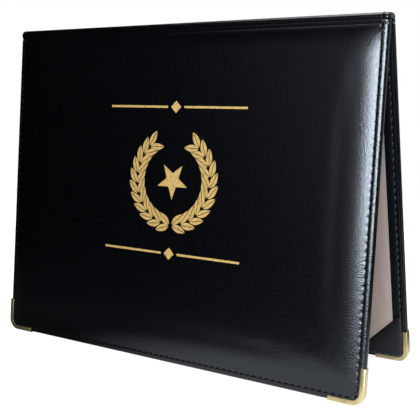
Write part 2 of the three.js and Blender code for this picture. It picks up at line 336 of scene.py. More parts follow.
@dataclass(frozen=True)
class MottledFinish:
    """What the plainer finishes share: two tones in soft blots, and a fine relief.

    The tones change over a span of the blots' strength, and the roughness over all of it.
    """

    name: str
    deep: str
    pale: str
    blot_mm: float
    blot_detail: float
    grit_mm: float
    grit_detail: float
    relief_mm: float
    relief_strength: float
    roughness: Pair
    span: Pair = (0.0, 1.0)
    axis_scales: Triple = (1.0, 1.0, 1.0)
    metallic: float = 0.0
    specular: float = 0.5

    def material(self) -> Material:
        """Builds the material.

        Returns:
            The node material.
        """
        material, tree, place = new_material(self.name)
        scaled = add_node(tree, "Mapping", {"Vector": place, "Scale": self.axis_scales})
        blots = {"Vector": scaled, "Scale": per_metre(self.blot_mm), "Detail": self.blot_detail}
        blot = add_node(tree, "TexNoise", blots)
        grits = {"Vector": place, "Scale": per_metre(self.grit_mm), "Detail": self.grit_detail}
        grit = add_node(tree, "TexNoise", grits)
        relief = {"Height": grit, "Strength": self.relief_strength, "Distance": self.relief_mm * MM}
        start, end = self.span
        share = add_node(tree, "MapRange", {"Value": blot, "From Min": start, "From Max": end})
        tones = {MIX_SHARE: share, MIX_FROM: linear(self.deep), MIX_TO: linear(self.pale)}
        in_deep, in_pale = self.roughness
        inputs = {
            "Base Color": add_node(tree, "Mix", tones, data_type="RGBA").outputs[MIXED],
            "Roughness": add_node(tree, "MapRange", {"Value": blot, "To Min": in_deep, "To Max": in_pale}),
            "Normal": add_node(tree, "Bump", relief),
            "Metallic": self.metallic,
            "Specular IOR Level": self.specular,
        }
        add_node(tree, "OutputMaterial", {"Surface": add_node(tree, "BsdfPrincipled", inputs)})
        return material


@dataclass(frozen=True)
class PressedBrass(MottledFinish):
    """Pale brass strip, pressed to a channel, tumbled to a satin polish and lacquered.

    The eye sees broad warm reflections with fine rubbing marks and slightly duller patches.
    """

    name: str = "pressed satin brass"
    deep: str = "#b3a170"
    pale: str = "#ccbf92"
    blot_mm: float = 6.0
    blot_detail: float = 4.0
    # Real rubbing marks are finer. These are as coarse as they need to be to show.
    grit_mm: float = 0.25
    grit_detail: float = 2.0
    relief_mm: float = 0.02
    relief_strength: float = 0.25
    roughness: Pair = (0.36, 0.27)
    span: Pair = (0.3, 0.6)
    metallic: float = 1.0


@dataclass(frozen=True)
class StreakedCard(MottledFinish):
    """Uncoated taupe card with a laid streak that runs up the sheet.

    The eye sees a matt warm grey with faint upright streaks and a soft paper tooth. Both tones are painted darker
    than the card's own, as the shade inside the tent.
    """

    name: str = "uncoated streaked card"
    # Both tones are painted darker than the card's own, standing in for the shade inside the tent.
    deep: str = "#7b6e68"
    pale: str = "#857770"
    blot_mm: float = 1.6
    blot_detail: float = 4.0
    # Real paper tooth is finer. This is as coarse as it needs to be to show.
    grit_mm: float = 0.25
    grit_detail: float = 3.0
    relief_mm: float = 0.03
    relief_strength: float = 0.4
    roughness: Pair = (0.82, 0.82)
    span: Pair = (0.3, 0.7)
    # A small scale along the sheet's height draws the blots out into upright streaks.
    axis_scales: Triple = (1.0, 0.04, 0.04)
    specular: float = 0.3


@dataclass(frozen=True)
class StampedFoil(MottledFinish):
    """Gold foil, hot-stamped into leatherette so that it takes on the grain.

    The eye sees a soft metallic gold that dulls where the grain's hollows took less foil.
    """

    name: str = "hot-stamped gold foil"
    deep: str = "#8c7040"
    pale: str = "#c8a766"
    blot_mm: float = 1.1
    blot_detail: float = 3.0
    grit_mm: float = 1.1
    grit_detail: float = 3.0
    relief_mm: float = 0.06
    relief_strength: float = 0.7
    roughness: Pair = (0.5, 0.5)
    span: Pair = (0.28, 0.52)
    metallic: float = 0.6


@dataclass(frozen=True)
class PressedBoard(MottledFinish):
    """Grey pulpboard, pressed from waste paper.

    The eye sees a dull grey with darker fibres.
    """

    name: str = "pressed greyboard"
    deep: str = "#6f6a62"
    pale: str = "#99938a"
    blot_mm: float = 0.8
    blot_detail: float = 5.0
    grit_mm: float = 0.8
    grit_detail: float = 5.0
    relief_mm: float = 0.05
    relief_strength: float = 0.5
    roughness: Pair = (0.9, 0.9)


@dataclass(frozen=True)
class CellFoam:
    """Cream polyurethane foam sheet, skived from a block.

    The eye sees a pale matt sheet of open cells.
    """

    name: str = "skived polyurethane foam"
    cell: str = "#b9b3a2"
    wall: str = "#e2ddcf"
    cell_mm: float = 0.9
    relief_mm: float = 0.2
    relief_strength: float = 0.6
    roughness: float = 0.95

    def material(self) -> Material:
        """Builds the material.

        Returns:
            The node material.
        """
        material, tree, place = new_material(self.name)
        cells = add_node(tree, "TexVoronoi", {"Vector": place, "Scale": per_metre(self.cell_mm)})
        tones = {MIX_SHARE: cells, MIX_FROM: linear(self.cell), MIX_TO: linear(self.wall)}
        relief = {"Height": cells, "Strength": self.relief_strength, "Distance": self.relief_mm * MM}
        inputs = {
            "Base Color": add_node(tree, "Mix", tones, data_type="RGBA").outputs[MIXED],
            "Roughness": self.roughness,
            "Normal": add_node(tree, "Bump", relief),
        }
        add_node(tree, "OutputMaterial", {"Surface": add_node(tree, "BsdfPrincipled", inputs)})
        return material


LINING_LEATHERETTE = PebbledLeatherette(
    name="black fine-grained lining leatherette",
    hollow="#010204",
    crest="#03060a",
    grain_mm=0.8,
    roughness=(0.3, 0.4),
    specular=0.25,
)
# The bobbin thread is the same black thread. It is painted a lighter slate as glints on the stitches, and it is
# glossier.
BOBBIN_THREAD_PAINTED_LIGHT = SewingThread(
    name="glossy bobbin thread painted light as glints", colour="#171c20", roughness=0.35, specular=0.4
)


@dataclass
class Finishes:
    """One material of each finish, shared by the pieces that have it."""

    leatherette: Material = field(default_factory=PebbledLeatherette().material)
    lining: Material = field(default_factory=LINING_LEATHERETTE.material)
    thread: Material = field(default_factory=SewingThread().material)
    # The bobbin thread's lighter colour is a painted glint.
    bobbin: Material = field(default_factory=BOBBIN_THREAD_PAINTED_LIGHT.material)
    brass: Material = field(default_factory=PressedBrass().material)
    card: Material = field(default_factory=StreakedCard().material)
    foil: Material = field(default_factory=StampedFoil().material)
    board: Material = field(default_factory=PressedBoard().material)
    foam: Material = field(default_factory=CellFoam().material)


def deselect_all() -> None:
    """Leaves edit mode and selects nothing."""
    if bpy.context.object and bpy.context.object.mode != "OBJECT":
        bpy.ops.object.mode_set(mode="OBJECT")
    bpy.ops.object.select_all(action="DESELECT")


def take_new(name: str) -> Piece:
    """Names the object that an operator has just added.

    Args:
        name: The piece's name.

    Returns:
        The object.
    """
    piece = bpy.context.object
    piece.name = name
    piece.data.name = name
    return piece


def activate(piece: Piece) -> None:
    """Makes one object the selected and active one."""
    deselect_all()
    piece.select_set(True)
    bpy.context.view_layer.objects.active = piece


def edit_whole(piece: Piece) -> None:
    """Enters edit mode with a whole piece selected."""
    activate(piece)
    bpy.ops.object.mode_set(mode="EDIT")
    bpy.ops.mesh.select_all(action="SELECT")


def edit_edges(piece: Piece, wanted: Callable[[Vector], bool]) -> None:
    """Enters edit mode with only those edges selected whose two ends pass a test.

    Args:
        piece: The piece.
        wanted: The test of an end's place.
    """
    activate(piece)
    bpy.ops.object.mode_set(mode="EDIT")
    bpy.ops.mesh.select_mode(type="EDGE")
    bpy.ops.mesh.select_all(action="DESELECT")
    bpy.ops.object.mode_set(mode="OBJECT")
    for edge in piece.data.edges:
        edge.select = all(wanted(piece.data.vertices[v].co) for v in edge.vertices)
    bpy.ops.object.mode_set(mode="EDIT")


def face_outward(piece: Piece) -> None:
    """Recalculates a piece's normals."""
    edit_whole(piece)
    bpy.ops.mesh.normals_make_consistent(inside=False)
    bpy.ops.object.mode_set(mode="OBJECT")


def apply_modifier(piece: Piece, kind: str, **settings: object) -> None:
    """Adds a modifier to a piece and applies it.

    Args:
        piece: The piece.
        kind: The modifier's type.
        **settings: The modifier's properties.
    """
    activate(piece)
    modifier = piece.modifiers.new(kind.lower(), kind)
    for name, value in settings.items():
        setattr(modifier, name, value)
    bpy.ops.object.modifier_apply(modifier=modifier.name)


def thicken(piece: Piece, millimetres: float, even: bool = False) -> None:
    """Gives a sheet its thickness, behind the face that it shows."""
    apply_modifier(piece, "SOLIDIFY", thickness=millimetres * MM, offset=-1.0, use_even_offset=even)


def smooth(piece: Piece, degrees: float) -> None:
    """Shades a piece smooth, with sharp edges past an angle."""
    activate(piece)
    bpy.ops.object.shade_smooth_by_angle(angle=math.radians(degrees))


def join(name: str, pieces: Sequence[Piece]) -> Piece:
    """Joins pieces to one.

    Args:
        name: The name of the one piece.
        pieces: The pieces.

    Returns:
        The one piece.
    """
    deselect_all()
    for piece in pieces:
        piece.select_set(True)
    bpy.context.view_layer.objects.active = pieces[0]
    bpy.ops.object.join()
    return take_new(name)


def copy_to(name: str, template: Piece, places: Sequence[Matrix]) -> Piece:
    """Copies a template to every place, joins the copies to one piece and takes the template away.

    Args:
        name: The piece's name.
        template: What is copied.
        places: From the template's own frame to the piece's frame.

    Returns:
        The piece.
    """
    made = []
    for place in places:
        twin = template.copy()
        twin.data = template.data.copy()
        twin.data.transform(place)
        bpy.context.collection.objects.link(twin)
        made.append(twin)
    bpy.data.objects.remove(template)
    return join(name, made)


def settle(piece: Piece, body: str, slot: str, material: Material, *nodes: str) -> None:
    """Dresses a finished piece and ties it to the frame.

    Args:
        piece: The piece.
        body: The body that it rides on.
        slot: The record's material slot; not used.
        material: Its finish.
        *nodes: The solids that it stands for.
    """
    piece.data.materials.clear()
    piece.data.materials.append(material)
    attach(piece, body)
    if nodes:
        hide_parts(*nodes)
    log.info("%s rides on %s", piece.name, body)


def bend(centre: Pair, radius: float, start: float, end: float, steps: int) -> list[Pair]:
    """Points on an arc, both ends included.

    Args:
        centre: The arc's centre.
        radius: Its radius.
        start: The first angle, in degrees.
        end: The last angle, in degrees.
        steps: The number of steps between them.

    Returns:
        The points.
    """
    angles = [math.radians(start + (end - start) * i / steps) for i in range(steps + 1)]
    return [(centre[0] + radius * math.cos(a), centre[1] + radius * math.sin(a)) for a in angles]


def place_points(piece: Piece, points: np.ndarray, matrix: Matrix) -> None:
    """Moves a piece's points to their places in the shared frame.

    Args:
        piece: The piece.
        points: The points in the mesh's order, in the millimetres of the matrix's own frame.
        matrix: From that frame to the shared frame.
    """
    turn = np.array(matrix.to_3x3())
    shift = np.array(matrix.translation)
    flat = points.reshape(-1, 3) @ turn.T + shift
    piece.data.vertices.foreach_set("co", flat.astype(np.float32).ravel())
    piece.data.update()


def build_grid(name: str, points: np.ndarray, matrix: Matrix) -> Piece:
    """Makes a sheet from rows of columns of points. It faces along its columns crossed with its rows.

    Args:
        name: The piece's name.
        points: The points, in the millimetres of the matrix's own frame.
        matrix: From that frame to the shared frame.

    Returns:
        The sheet, one face thick.
    """
    deselect_all()
    rows, columns = points.shape[:2]
    bpy.ops.mesh.primitive_grid_add(x_subdivisions=columns - 1, y_subdivisions=rows - 1, size=1)
    piece = take_new(name)
    place_points(piece, points, matrix)
    return piece


@dataclass(frozen=True)
class SeamLine:
    """Where a cover's stitches lie: down one side, along the bottom and up the other side."""

    top: float = 6.7
    side_stitches: int = 42
    bottom_stitches: int = 61
    corner_stitches: int = 1

    @property
    def bottom_half(self) -> float:
        """Half the straight part of the bottom seam."""
        return SIZES.half - SIZES.cover_corner

    @property
    def side_length(self) -> float:
        """The straight part of a side seam below the top."""
        return SIZES.cover_drop - SIZES.cover_corner - self.top

    def side_count(self, z: np.ndarray) -> np.ndarray:
        """Stitches down a side seam to a height."""
        return (-z - self.top) / self.side_length * self.side_stitches

    def bottom_count(self, x: np.ndarray) -> np.ndarray:
        """Stitches along the bottom seam to a place."""
        return (x + self.bottom_half) / (2 * self.bottom_half) * self.bottom_stitches

    def marks(self) -> list[Triple]:
        """The middle of every stitch.

        Returns:
            Place across, height, and heading in degrees from +X towards +Z.
        """
        edge = SIZES.half - SIZES.seam_inset
        floor = SIZES.seam_inset - SIZES.cover_drop
        radius = SIZES.cover_corner - SIZES.seam_inset
        marks = []
        for k in range(-1, self.side_stitches):
            z = -self.top - (k + 0.5) / self.side_stitches * self.side_length
            marks += [(edge, z, 90.0), (-edge, z, -90.0)]
        for k in range(self.bottom_stitches):
            marks.append((((k + 0.5) / self.bottom_stitches * 2 - 1) * self.bottom_half, floor, 0.0))
        for k in range(self.corner_stitches):
            turn = 90 * (k + 0.5) / self.corner_stitches
            out, low = radius * math.cos(math.radians(turn)), radius * math.sin(math.radians(turn))
            marks.append((self.bottom_half + out, floor + radius - low, 90 - turn))
            marks.append((-self.bottom_half - out, floor + radius - low, turn - 90))
        return marks


SEAM = SeamLine()


@dataclass(frozen=True)
class Spots:
    """A sheet's points: their places, the stitches along the seam up to them, and what their rings say."""

    x: np.ndarray
    z: np.ndarray
    along: np.ndarray
    inset: np.ndarray
    level: np.ndarray


@dataclass(frozen=True)
class CoverSheet:
    """A sheet over a whole cover: rings that follow the three free edges round the two free corners.

    Each ring is an inset from the edge and a level above the inside of the lining. The rings run from
    the sheet's own edge to the corner's centre. The top rows are ways below the crease, and how far the
    sheet's level changes there.
    """

    rings: Pairs
    top_rows: Pairs
    lines_a_stitch: int = 1
    least_radius: float = 0.3

    @property
    def insets(self) -> np.ndarray:
        """The rings' insets."""
        return np.array([inset for inset, _ in self.rings])

    @property
    def last(self) -> int:
        """The number of the innermost ring."""
        return len(self.rings) - 1

    def columns(self) -> tuple[np.ndarray, np.ndarray]:
        """The sheet's upright lines.

        Returns:
            The place of each across the cover, and the number of its ring.
        """
        reach = SIZES.half - self.insets[-1]
        middle = np.linspace(-reach, reach, self.lines_a_stitch * SEAM.bottom_stitches + 1)
        places = np.concatenate([self.insets - SIZES.half, middle[1:-1], (SIZES.half - self.insets)[::-1]])
        inward = np.arange(self.last + 1)
        numbers = np.concatenate([inward, np.full(len(middle) - 2, self.last), inward[::-1]])
        return places, numbers

    def rows(self) -> tuple[np.ndarray, np.ndarray, np.ndarray]:
        """The sheet's level lines, from the crease to the bottom edge.

        Returns:
            The height of each, the number of its ring and how far its level changes.
        """
        top = -np.array([way for way, _ in self.top_rows])
        heights = self.insets - SIZES.cover_drop
        middle = np.linspace(top[-1], heights[-1], self.lines_a_stitch * SEAM.side_stitches + 1)
        places = np.concatenate([top, middle[1:-1], heights[::-1]])
        inner = np.full(len(top) + len(middle) - 2, self.last)
        numbers = np.concatenate([inner, np.arange(self.last + 1)[::-1]])
        dips = np.zeros(len(places))
        dips[: len(top)] = [dip for _, dip in self.top_rows]
        return places, numbers, dips

    def points(self, lift: Callable[[Spots], np.ndarray] | None = None) -> np.ndarray:
        """Works out the sheet's points.

        Args:
            lift: Gives how far the points stand above their level.

        Returns:
            Rows of columns of points, in the cover's own frame.
        """
        across, column_ring = self.columns()
        down, row_ring, dips = self.rows()
        x, z = np.meshgrid(across, down)
        by_column, by_row = np.meshgrid(column_ring, row_ring)
        ring = np.minimum(by_column, by_row)
        levels = np.array([level for _, level in self.rings])
        rounded = self.round_corners(x, z, by_column, by_row)
        spots = Spots(*rounded, self.insets[ring], levels[ring])
        level = spots.level + dips[:, None]
        if lift:
            level = level + lift(spots)
        return np.stack([spots.x, SIZES.cover_edge - level, spots.z], axis=-1)

    def round_corners(
        self, x: np.ndarray, z: np.ndarray, by_column: np.ndarray, by_row: np.ndarray
    ) -> tuple[np.ndarray, np.ndarray, np.ndarray]:
        """Bends the rings round the two free corners.

        Args:
            x: Places across the cover.
            z: Heights.
            by_column: The ring of each point's upright line.
            by_row: The ring of each point's level line.

        Returns:
            The new places and heights, and the stitches that lie along the seam up to each point.
        """
        ring = np.minimum(by_column, by_row)
        other = np.maximum(by_column, by_row)
        share = (other - ring) / np.maximum(self.last - ring, 1)
        angle = np.where(by_column <= by_row, 45 * (1 - share), 45 * (1 + share))
        radius = np.maximum(SIZES.cover_corner - self.insets[ring], self.least_radius)
        reach = np.where(ring == self.last, 0.0, radius)
        side = np.sign(x)
        centre_x = side * (SIZES.half - SIZES.cover_corner)
        centre_z = SIZES.cover_corner - SIZES.cover_drop
        corner = (by_column < self.last) & (by_row < self.last)
        along = np.where(by_column < self.last, SEAM.side_count(z), SEAM.bottom_count(x))
        along = np.where(corner, angle / 90 * SEAM.corner_stitches, along)
        x = np.where(corner, centre_x + side * reach * np.cos(np.radians(angle)), x)
        z = np.where(corner, centre_z - reach * np.sin(np.radians(angle)), z)
        return x, z, along


@dataclass
class FoamSwell:
    """How the foam fills the leatherette out.

    A coarse sheet over the pad starts a little low and is held round its edge. A cloth simulation swells
    it. The swell is capped at the height that the foam is cut to, and a smooth surface through the result
    is the pad's form.
    """

    inset: float = 4.4
    top: float = 4.3
    cell: float = 5.0
    start_share: float = 0.85
    pressure: float = 4.0
    vertex_mass: float = 0.3
    frames: int = 20
    heights: np.ndarray | None = None

    @property
    def counts(self) -> tuple[int, int]:
        """How many points the coarse sheet has across and down."""
        drop = SIZES.cover_drop - self.top - self.inset
        return round(2 * (SIZES.half - self.inset) / self.cell) + 1, round(drop / self.cell) + 1

    def crown(self, x: np.ndarray, z: np.ndarray) -> np.ndarray:
        """The height that the foam is cut to.

        Args:
            x: Places across the cover.
            z: Heights below the crease, as negative numbers.

        Returns:
            The height above the border, in millimetres.
        """
        from_side = SIZES.half - np.abs(x) - self.inset
        from_top = -z - self.top
        from_bottom = SIZES.cover_drop + z - self.inset
        ways = (from_side, np.minimum(from_top, from_bottom))
        shares = [np.clip(way / SIZES.crown_run, 0, 1) for way in ways]
        rises = [1 - (1 - share) ** SIZES.crown_power for share in shares]
        return SIZES.crown * rises[0] * rises[1]

    def places(self) -> tuple[np.ndarray, np.ndarray]:
        """Where the coarse sheet's points lie.

        Returns:
            Their places across and their heights, from the bottom row to the top row.
        """
        half = SIZES.half - self.inset
        columns, rows = self.counts
        across = np.linspace(-half, half, columns)
        up = np.linspace(self.inset - SIZES.cover_drop, -self.top, rows)
        return np.meshgrid(across, up)

    def run(self) -> None:
        """Swells the sheet and keeps how high each of its points ends."""
        x, z = self.places()
        cut = self.crown(x, z)
        start = self.start_share * cut
        sheet = build_grid("foam_swell", np.stack([x, -start, z], axis=-1), Matrix.Scale(MM, 4))
        held = np.ones(x.shape, dtype=bool)
        held[1:-1, 1:-1] = False
        group = sheet.vertex_groups.new(name="held")
        group.add(np.flatnonzero(held.ravel()).tolist(), 1.0, "REPLACE")
        cloth = sheet.modifiers.new("swell", "CLOTH")
        cloth.settings.vertex_group_mass = group.name
        cloth.settings.mass = self.vertex_mass
        cloth.settings.use_pressure = True
        cloth.settings.uniform_pressure_force = self.pressure
        cloth.settings.effector_weights.gravity = 0.0
        cloth.point_cache.frame_end = self.frames
        for number in range(1, self.frames + 1):
            bpy.context.scene.frame_set(number)
        activate(sheet)
        bpy.ops.object.modifier_apply(modifier=cloth.name)
        ends = np.array([vertex.co.y for vertex in sheet.data.vertices]).reshape(x.shape) / -MM
        bpy.context.scene.frame_set(1)
        bpy.data.objects.remove(sheet)
        self.heights = start + np.clip(ends - start, 0.0, cut - start)
        log.info("the foam swells by up to %.2f mm", float((ends - start).max()))

    def height(self, x: np.ndarray, z: np.ndarray) -> np.ndarray:
        """How high the pad stands above the border.

        Args:
            x: Places across the cover.
            z: Heights.

        Returns:
            The height, in millimetres, on a smooth surface through the swollen sheet.
        """
        half = SIZES.half - self.inset
        columns, rows = self.counts
        bottom, top = self.inset - SIZES.cover_drop, -self.top
        column = np.clip((x + half) / (2 * half), 0, 1) * (columns - 1)
        row = np.clip((z - bottom) / (top - bottom), 0, 1) * (rows - 1)
        gain = self.heights - self.crown(*self.places())
        total = self.crown(x, z)
        # Four coarse points each way have a share in every place.
        near = range(-1, 3)
        for down in near:
            for across in near:
                i = np.floor(row).astype(int) + down
                j = np.floor(column).astype(int) + across
                weight = self.blob(row - i) * self.blob(column - j)
                total = total + weight * gain[np.clip(i, 0, rows - 1), np.clip(j, 0, columns - 1)]
        return np.maximum(total, 0.0)

    @staticmethod
    def blob(distance: np.ndarray) -> np.ndarray:
        """The smooth share, a cubic spline's, of a coarse point in a place some cells away from it."""
        far = np.abs(distance)
        near = (4 - 6 * far**2 + 3 * far**3) / 6
        return np.where(far < 1, near, np.clip(2 - far, 0, None) ** 3 / 6)


@dataclass
class PaddedSkin:
    """The leatherette over one cover, crowned by the foam and turned in round the free edges."""

    cover: Cover
    foam: FoamSwell
    finishes: Finishes
    wall: float = 0.3
    lip: Pairs = ((0.16, -0.6), (0.17, -0.32), (0.28, -0.1), (0.55, 0.0), (1.2, 0.0))
    turn_in_ways: Sequence[float] = (SIZES.turn_in, 6.0, 2.0)
    bead: Pair = (3.3, 2.3)
    bead_rise: float = 0.05
    groove: float = 0.04
    groove_shape: Pairs = ((-0.22, 0.15), (0.0, 1.0), (0.16, 0.6))
    pad_ways: Sequence[float] = (0.0, 0.25, 0.6, 1.2, 2.2)
    pad_top_ways: Sequence[float] = (0.0, 0.4, 0.9, 1.5)
    pucker: float = 0.3
    pucker_inset: float = 0.35
    pucker_width: float = 0.75
    pressed_line: float = 2.4
    pressed_half: Pairs = ((0.8, 0.0), (0.55, 0.1), (0.3, 0.45))
    pressed_depth: float = 0.6
    pressed_end: float = 3.5
    outside_depth: float = 1.0
    dent_fade: float = 1.5
    dent_inset: float = SIZES.seam_inset - 0.3

    def rings(self) -> list[Pair]:
        """The profile from the end of the turn-in, over the puffed bead and through the seam groove.

        Returns:
            Insets and levels.
        """
        edge, tuck = SIZES.cover_edge, SIZES.turn_in_level
        under = [(way, tuck) for way in self.turn_in_ways]
        tucked = bend((SIZES.skin, tuck + SIZES.skin), SIZES.skin, 270, 180, 3)
        width, height = self.bead
        low = edge + self.bead_rise - height
        bead = [(width + width * x, low + height * y) for x, y in bend((0, 0), 1, 180, 85, 10)]
        groove = [(SIZES.seam_inset + way, edge - share * self.groove) for way, share in self.groove_shape]
        pad = [(self.foam.inset + way, edge) for way in self.pad_ways]
        return [*under, *tucked, *bead, *groove, *pad, (SIZES.cover_corner, edge)]

    def top_rows(self) -> list[Pair]:
        """The profile down from the crease: a lip, a pressed line and the start of the pad.

        Returns:
            Ways below the crease, and how far the level changes.
        """
        near = [(self.pressed_line - way, -depth) for way, depth in self.pressed_half]
        far = [(self.pressed_line + way, -depth) for way, depth in reversed(self.pressed_half)]
        line = [*near, (self.pressed_line, -self.pressed_depth), *far]
        pad = [(self.foam.top + way, 0.0) for way in self.pad_top_ways]
        return [*self.lip, *line, (self.pressed_end, 0.0), *pad, (SEAM.top, 0.0)]

    def dented(self, spots: Spots) -> np.ndarray:
        """How much of the bead's rise the brass corners press flat.

        Args:
            spots: The points.

        Returns:
            A share, 0 away from the brass and 1 under it.
        """
        inward = SIZES.half - np.abs(spots.x) - SIZES.brass_leg
        upward = SIZES.cover_drop + spots.z - SIZES.brass_leg
        past = np.clip(np.maximum(inward, upward) / self.dent_fade, 0, 1)
        return np.where(spots.inset < self.dent_inset, 1 - past, 0.0)

    def lift(self, spots: Spots) -> np.ndarray:
        """The crown, the puckers between the stitches and the dents under the brass.

        Args:
            spots: The points.

        Returns:
            The lift, in millimetres.
        """
        outside = spots.level > SIZES.cover_edge - self.outside_depth
        from_swell = spots.inset - SIZES.seam_inset - self.pucker_inset
        swell = np.exp(-((from_swell / self.pucker_width) ** 2))
        puckers = self.pucker * swell * np.cos(2 * math.pi * spots.along)
        crown = np.where(spots.inset >= self.foam.inset, self.foam.height(spots.x, spots.z), 0.0)
        dent = self.dented(spots) * np.maximum(spots.level + puckers - SIZES.cover_edge, 0)
        return np.where(outside, puckers + crown - dent, 0.0)

    def build(self) -> None:
        """Models the skin, gives it its thickness and dresses it."""
        points = CoverSheet(self.rings(), self.top_rows(), lines_a_stitch=3).points(self.lift)[::-1]
        skin = build_grid(f"{self.cover.value}_padded_skin", points, self.cover.matrix())
        thicken(skin, self.wall)
        smooth(skin, degrees=60)
        node = f"{self.cover.value}_cover_skin"
        settle(skin, self.cover.body, "leatherette", self.finishes.leatherette, node)


@dataclass
class Lining:
    """The leatherette that closes the inside of one cover, with the bobbin side of the seam sunk in it."""

    cover: Cover
    finishes: Finishes
    wall: float = 0.3
    edge: Pairs = ((0.0, SIZES.lining - 0.05), (0.03, 0.22), (0.15, 0.06), (0.4, 0.0))
    groove: float = 0.18
    groove_shape: Pairs = ((-0.7, 0.0), (-0.35, 0.6), (0.0, 1.0), (0.35, 0.6), (0.7, 0.0))
    flat_start: float = 6.5
    top_rows: Pairs = ((0.3, 0.4), (0.32, 0.2), (0.5, 0.04), (0.8, 0.0), (3.0, 0.0), (SEAM.top, 0.0))

    def build(self) -> None:
        """Models the lining and dresses it."""
        edge = [(SIZES.lining_inset + way, level) for way, level in self.edge]
        groove = [(SIZES.seam_inset + way, share * self.groove) for way, share in self.groove_shape]
        rings = [*edge, *groove, (self.flat_start, 0.0), (SIZES.cover_corner, 0.0)]
        points = CoverSheet(rings, self.top_rows).points()
        lining = build_grid(f"{self.cover.value}_inside_lining", points, self.cover.matrix())
        thicken(lining, self.wall)
        smooth(lining, degrees=60)
        settle(lining, self.cover.body, "lining", self.finishes.lining, f"{self.cover.value}_lining")


class Face(Enum):
    """The two faces of a cover, by the way that they look along the cover's own Y."""

    OUTSIDE = -1
    INSIDE = 1


@dataclass
class Stitching:
    """Lockstitches: one is modelled and the rest are copies of it."""

    finishes: Finishes
    length: float = 3.8
    width: float = 1.0
    height: float = 0.6
    dive: float = 0.45
    slant: float = 12.0
    facets: int = 8
    outside_level: float = SIZES.cover_edge - 0.04
    lining_level: float = -0.02
    tab_level: float = -1.3
    spine_slope: float = 52.0
    spine_sink: float = 0.1

    def template(self) -> Piece:
        """Models one stitch along X, with its two ends pulled down into the needle holes.

        Returns:
            The stitch, in millimetres about the origin.
        """
        deselect_all()
        along_x = (0, math.pi / 2, 0)
        bpy.ops.mesh.primitive_uv_sphere_add(
            segments=self.facets, ring_count=self.facets, radius=0.5, rotation=along_x
        )
        stitch = take_new("stitch")
        bpy.ops.object.transform_apply(location=False, rotation=True, scale=False)
        edit_whole(stitch)
        bpy.ops.transform.resize(value=(self.length, self.width, self.height))
        bpy.ops.object.mode_set(mode="OBJECT")
        for vertex in stitch.data.vertices:
            share = 2 * vertex.co.x / self.length
            vertex.co.z -= self.dive * share**4
        smooth(stitch, degrees=180)
        return stitch

    def level(self, cover: Cover, face: Face, x: float, z: float) -> float:
        """The level of a stitch's middle, which lies on the skin, on a tab or on the lining.

        Args:
            cover: The cover.
            face: The face that it lies on.
            x: Its place across.
            z: Its height below the crease, as a negative number.

        Returns:
            The height above the inside of the lining.
        """
        if face is Face.OUTSIDE:
            return self.outside_level
        on_tab = cover is Cover.REAR and CornerTab.covers(x, z)
        return self.tab_level if on_tab else self.lining_level

    def on_cover(self, cover: Cover, face: Face) -> list[Matrix]:
        """The places of a cover's stitches.

        Args:
            cover: The cover.
            face: The face that they lie on.

        Returns:
            From the stitch's own frame to the shared frame.
        """
        up = Vector((0, face.value, 0))
        places = []
        for x, z, heading in SEAM.marks():
            turn = math.radians(heading + self.slant)
            ahead = Vector((math.cos(turn), 0, math.sin(turn)))
            axes = Matrix((ahead, up.cross(ahead), up)).transposed().to_4x4()
            spot = Matrix.Translation((x, SIZES.cover_edge - self.level(cover, face, x, z), z))
            places.append(cover.matrix() @ spot @ axes)
        return places

    def build(self, cover: Cover) -> None:
        """Sews one cover, the needle side outside and the bobbin side inside.

        Args:
            cover: The cover.
        """
        places = self.on_cover(cover, Face.OUTSIDE)
        outside = copy_to(f"{cover.value}_outer_stitches", self.template(), places)
        settle(outside, cover.body, "thread", self.finishes.thread, f"{cover.value}_seam_thread")
        places = self.on_cover(cover, Face.INSIDE)
        inside = copy_to(f"{cover.value}_inner_stitches", self.template(), places)
        settle(inside, cover.body, "thread", self.finishes.bobbin)

    def build_spine(self) -> None:
        """Sews over both ends of the spine."""
        radius, slope = SIZES.spine_round, math.radians(self.spine_slope)
        spots = [(0.0, SIZES.spine_height, 0.0)]
        for side in (1, -1):
            y = SIZES.spine_width / 2 - radius + radius * math.cos(slope)
            z = SIZES.spine_height - radius + radius * math.sin(slope)
            spots.append((side * y, z, -side * (90 - self.spine_slope)))
        places = []
        for end in (1, -1):
            x = end * (SIZES.half - SIZES.seam_inset)
            for y, z, tilt in spots:
                spot = Matrix.Translation((x, y, z - self.spine_sink))
                turn = Matrix.Rotation(math.radians(tilt), 4, "X") @ Matrix.Rotation(math.pi / 2, 4, "Z")
                places.append(spine_matrix() @ spot @ turn)
        row = copy_to("spine_stitches", self.template(), places)
        settle(row, "spine", "thread", self.finishes.thread)


